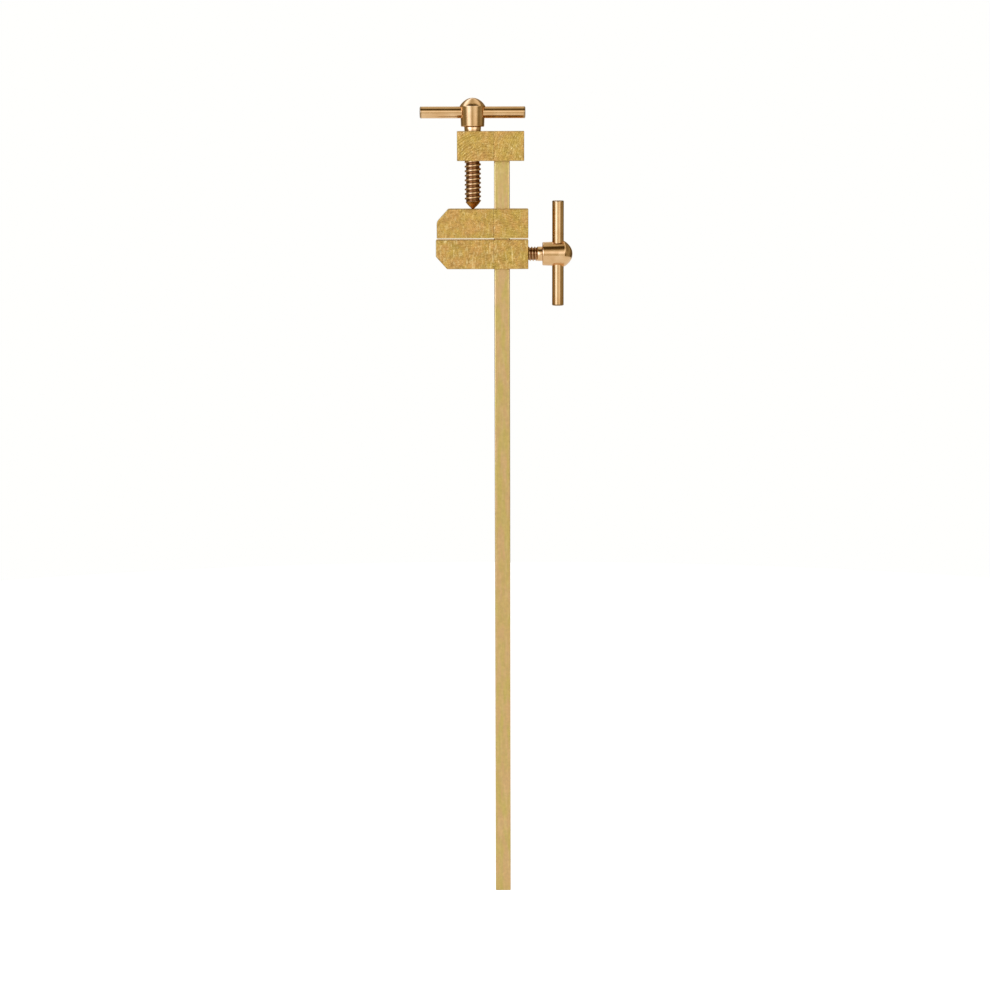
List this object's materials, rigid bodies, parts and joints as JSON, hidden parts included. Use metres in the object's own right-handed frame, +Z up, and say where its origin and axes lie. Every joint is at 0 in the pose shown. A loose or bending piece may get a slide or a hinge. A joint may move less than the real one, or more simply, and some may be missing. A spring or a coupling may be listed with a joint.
{
  "type": "bar clamp",
  "caption": "All-brass bar clamp: a square bar with a fixed head block, a lower jaw locked by a side screw, and an upper jaw pressed down by a pointed T-handled screw.",
  "frame": {"origin": "centre of the bar's lower end face", "axes": "+Z up the bar towards the head block, +X towards the lock screw's cap, -Y is the front"},
  "size_m": [0.0778, 0.015, 0.4168],
  "materials": {
    "drawn_brass": "drawn bar, satin with lengthwise streaks",
    "milled_brass": "milled block, satin with fine cutter marks and light specks",
    "turned_brass": "turned and polished, warmer tone"
  },
  "bodies": {
    "frame": {"bar": "drawn_brass", "head_block_screw_half": "milled_brass", "head_block_bar_half": "milled_brass"},
    "upper_jaw": {"upper_jaw_nose": "milled_brass", "upper_jaw_heel": "milled_brass"},
    "clamp_screw": {"clamp_spindle": "turned_brass", "clamp_cap": "turned_brass", "clamp_tommy_bar": "turned_brass"},
    "lower_jaw": {"lower_jaw_nose": "milled_brass", "lower_jaw_heel": "milled_brass"},
    "lock_shoe": {"lock_shoe": "drawn_brass"},
    "lock_screw": {"lock_spindle": "turned_brass", "lock_cap": "turned_brass", "lock_tommy_bar": "turned_brass"}
  },
  "joints": [
    {"name": "upper_jaw_slide", "type": "slide", "parent": "frame", "child": "upper_jaw", "axis": [0, 0, 1], "range_m": [-0.0005, 0.022]},
    {"name": "clamp_screw_turn", "type": "hinge", "parent": "upper_jaw", "child": "clamp_screw", "pos_m": [-0.0148, 0, 0.39], "axis": [0, 0, 1], "range_deg": [-79, 3445]},
    {"name": "lower_jaw_slide", "type": "slide", "parent": "frame", "child": "lower_jaw", "axis": [0, 0, 1], "range_m": [-0.28, 0]},
    {"name": "lock_shoe_slide", "type": "slide", "parent": "lower_jaw", "child": "lock_shoe", "axis": [1, 0, 0], "range_m": [0, 0.0031]},
    {"name": "lock_screw_turn", "type": "hinge", "parent": "lock_shoe", "child": "lock_screw", "pos_m": [0.015, 0, 0.3379], "axis": [1, 0, 0], "range_deg": [0, 721]}
  ],
  "couplings": [
    {"joint": "clamp_screw_turn", "follows": "upper_jaw_slide", "rad_per_m": 2731.8},
    {"joint": "lock_screw_turn", "follows": "lock_shoe_slide", "rad_per_m": 4053.7}
  ]
}
